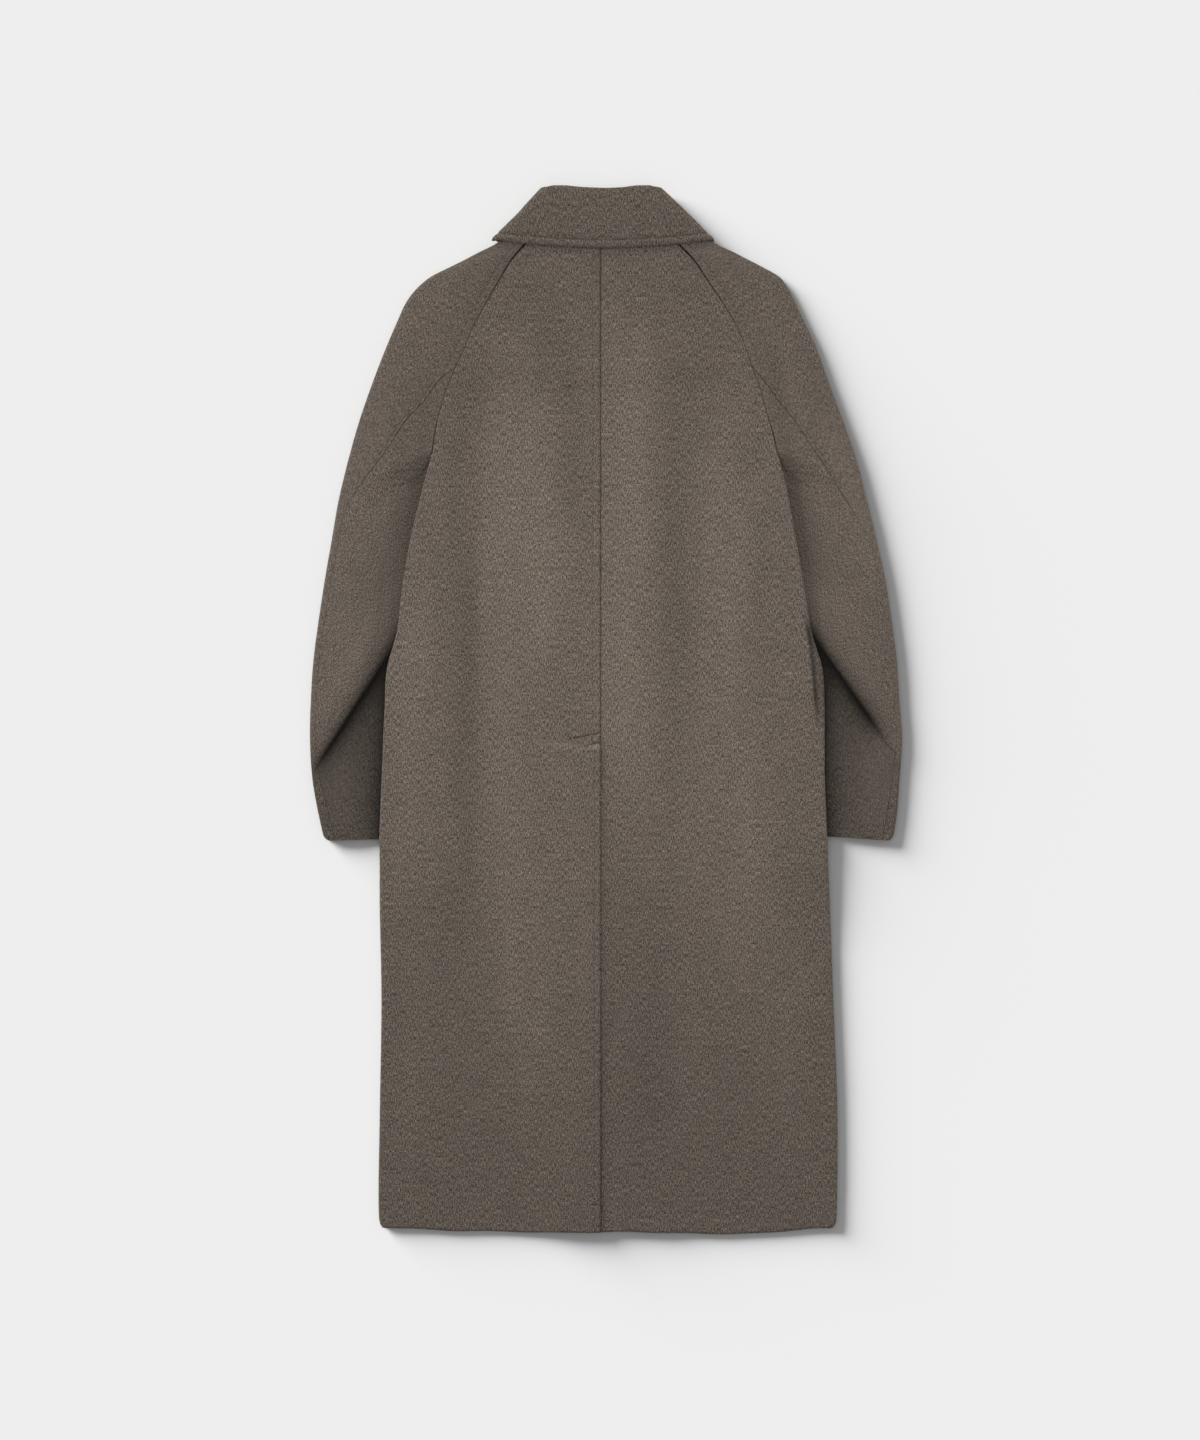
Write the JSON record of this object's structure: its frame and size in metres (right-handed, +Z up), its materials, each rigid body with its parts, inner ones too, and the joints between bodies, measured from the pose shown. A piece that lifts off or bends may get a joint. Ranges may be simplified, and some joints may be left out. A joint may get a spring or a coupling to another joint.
{
  "type": "balmacaan coat, laid flat",
  "caption": "Long raglan-sleeve balmacaan coat in taupe milled wool, laid flat back side up, with a turn-down collar, centre back seam and back vent.",
  "frame": {"origin": "bottom centre of the box of the laid coat, on the surface it lies on", "axes": "+Y from the hem to the collar, +Z up from the surface, +X to the wearer's right"},
  "size_m": [0.6816, 1.203, 0.016],
  "materials": {
    "body_cloth": "milled wool, matt",
    "sleeve_cloth": "milled wool, matt",
    "collar_cloth": "milled wool, matt"
  },
  "bodies": {
    "root": {"back_left": "body_cloth", "back_right": "body_cloth", "front_left": "body_cloth", "front_right": "body_cloth", "sleeve_left_upper": "sleeve_cloth", "sleeve_left_under": "sleeve_cloth", "sleeve_right_upper": "sleeve_cloth", "sleeve_right_under": "sleeve_cloth", "collar": "collar_cloth"}
  },
  "joints": []
}
